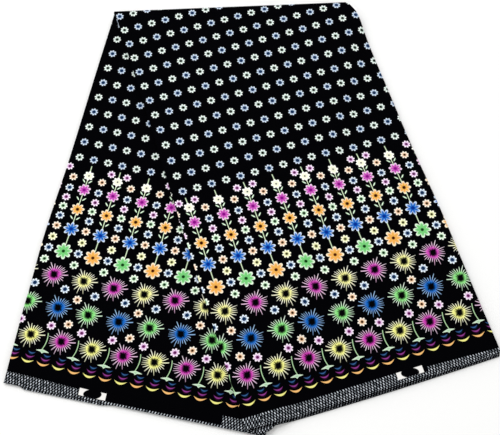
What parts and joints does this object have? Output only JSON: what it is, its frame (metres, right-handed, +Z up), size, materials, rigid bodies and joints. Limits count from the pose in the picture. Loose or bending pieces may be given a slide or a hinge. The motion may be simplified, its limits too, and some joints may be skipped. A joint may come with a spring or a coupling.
{
  "type": "folded length of wax print cotton fabric",
  "caption": "Length of floral wax print cotton folded into a flat stack, doubled on a slant so that its two limbs fan out and show the borders.",
  "frame": {"origin": "on the table, under the middle of the footprint", "axes": "+Z up from the table, +Y from the two hems towards the cross fold, +X towards the right limb"},
  "size_m": [0.6345, 0.6465, 0.0133],
  "materials": {
    "wax_print_face": "plain woven cotton, black ground with a small flower print and a border along each selvedge, smooth with a low sheen",
    "layer_edges": "folded edges and selvedges of the inner layers, black cotton with bits of the print and white marks along the selvedge"
  },
  "bodies": {
    "root": {"right_limb_front_layer": "wax_print_face", "left_limb_front_layer": "wax_print_face", "folded_hidden_layers": "layer_edges"}
  },
  "joints": []
}
